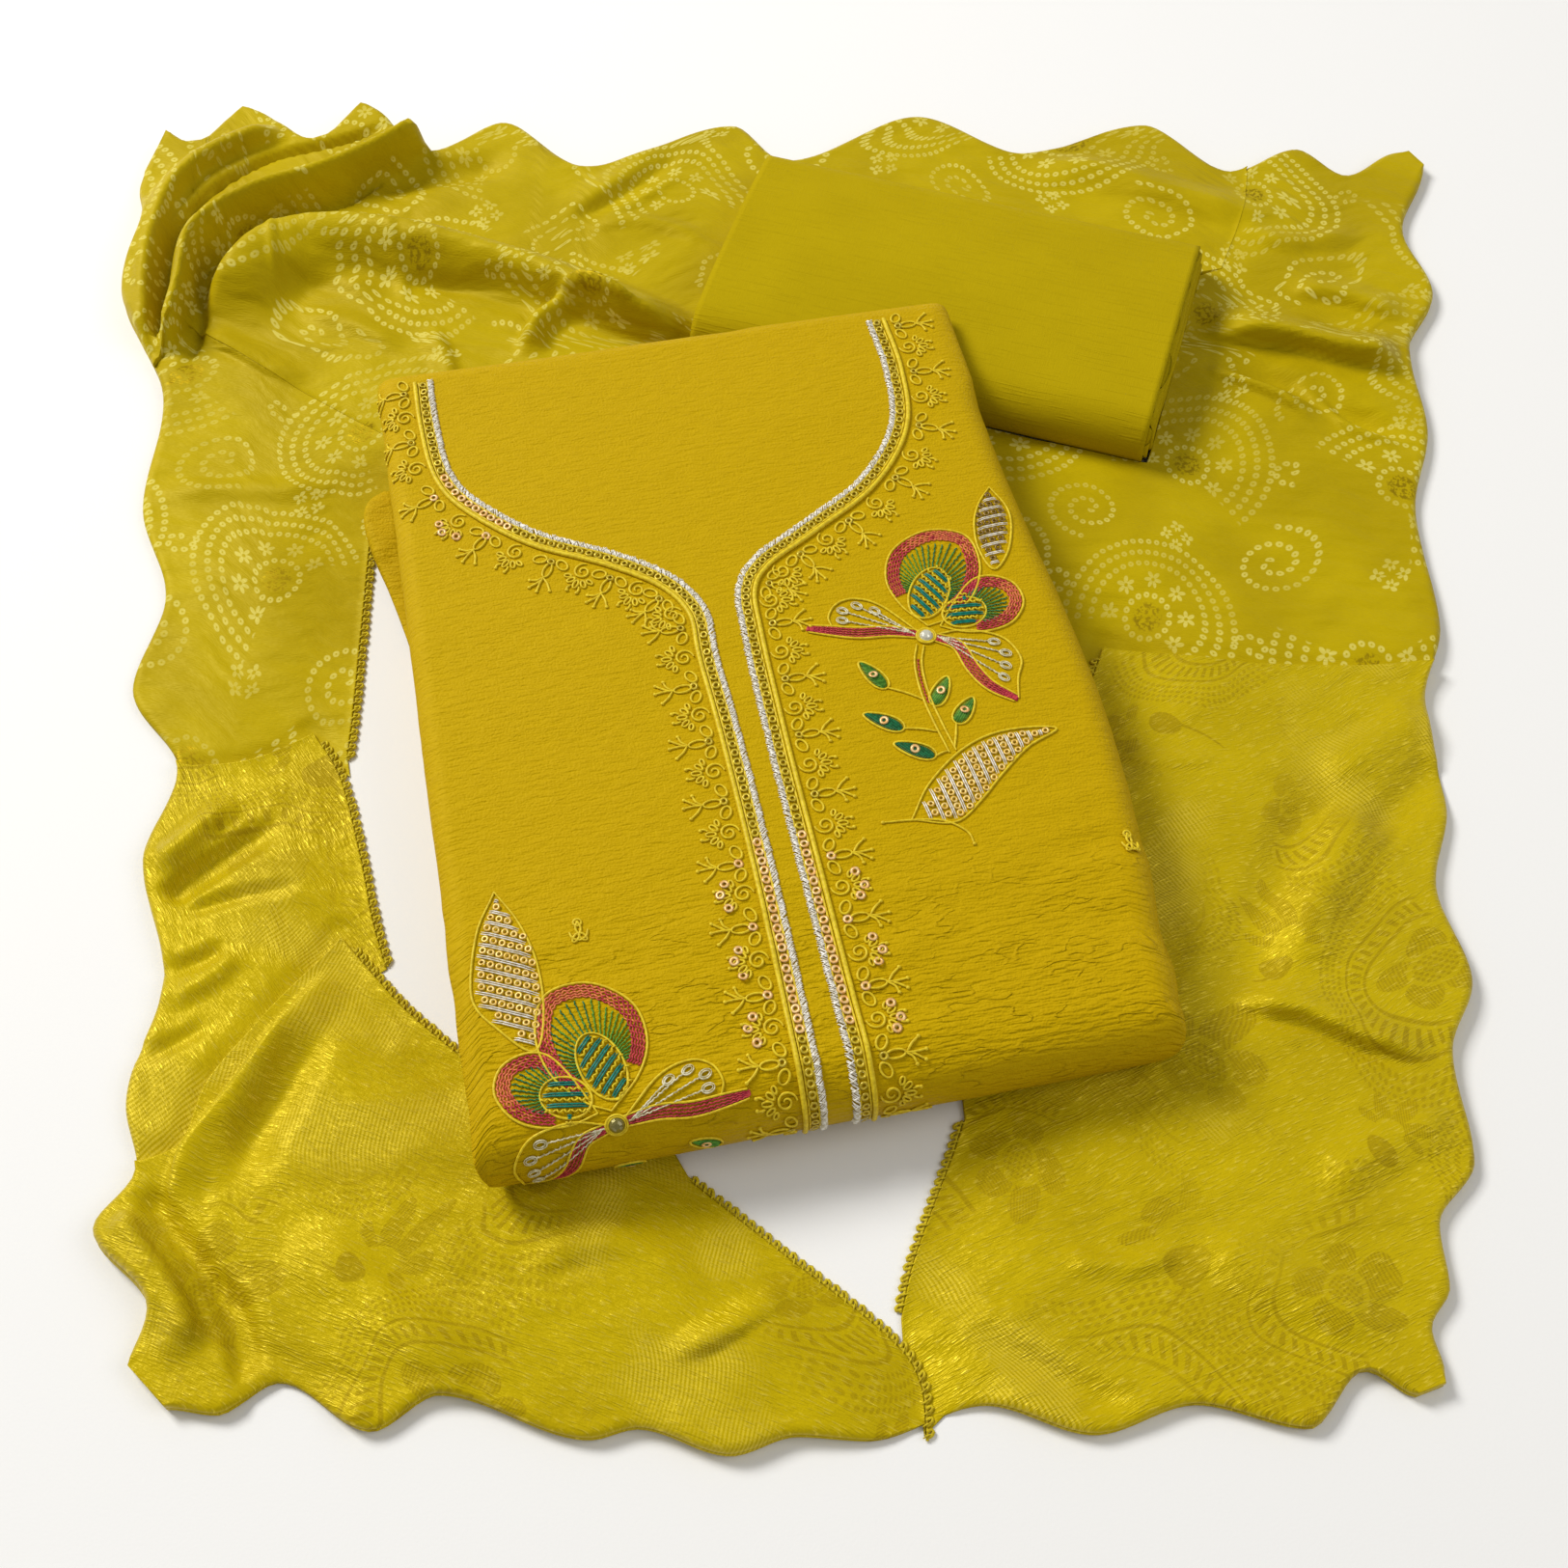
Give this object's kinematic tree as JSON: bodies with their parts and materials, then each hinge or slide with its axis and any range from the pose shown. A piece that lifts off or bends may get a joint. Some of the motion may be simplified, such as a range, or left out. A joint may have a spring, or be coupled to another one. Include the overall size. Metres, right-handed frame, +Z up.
{
  "type": "salwar kameez suit",
  "caption": "Salwar kameez dress set laid out flat: folded kameez with an embroidered neckline, rolled salwar cloth, and a dupatta spread round both.",
  "frame": {"origin": "centre of the footprint, on the surface the suit lies on", "axes": "+Z up out of the surface; +X to the viewer's right and +Y away from the viewer when the neckline is at the far end"},
  "size_m": [0.6766, 0.708, 0.0527],
  "materials": {
    "kameez_silk": "crinkled mustard silk",
    "neck_braid": "silver and gold thread braid",
    "salwar_cotton": "plain matte olive yellow cotton",
    "dupatta_print": "soft silk with a dotted tie-dye style print",
    "dupatta_jacquard": "tone on tone jacquard with a satin sheen",
    "dupatta_trim": "crocheted cotton edging"
  },
  "bodies": {
    "root": {"dupatta_far_gathers": "dupatta_print", "dupatta_behind_salwar": "dupatta_print", "dupatta_right_print": "dupatta_print", "dupatta_left_print": "dupatta_print", "dupatta_left_pallu": "dupatta_jacquard", "dupatta_front_pallu": "dupatta_jacquard", "dupatta_right_pallu": "dupatta_jacquard", "trim_left_print": "dupatta_trim", "trim_left_pallu": "dupatta_trim", "trim_front_far": "dupatta_trim", "trim_front_near": "dupatta_trim", "trim_right_near": "dupatta_trim", "trim_right_far": "dupatta_trim", "trim_right_print": "dupatta_trim", "kameez_front": "kameez_silk", "kameez_folded_layers": "kameez_silk", "kameez_lower_layer": "kameez_silk", "neck_braid_left": "neck_braid", "neck_braid_right": "neck_braid", "salwar_wrap": "salwar_cotton", "salwar_folded_layers": "salwar_cotton"}
  },
  "joints": []
}
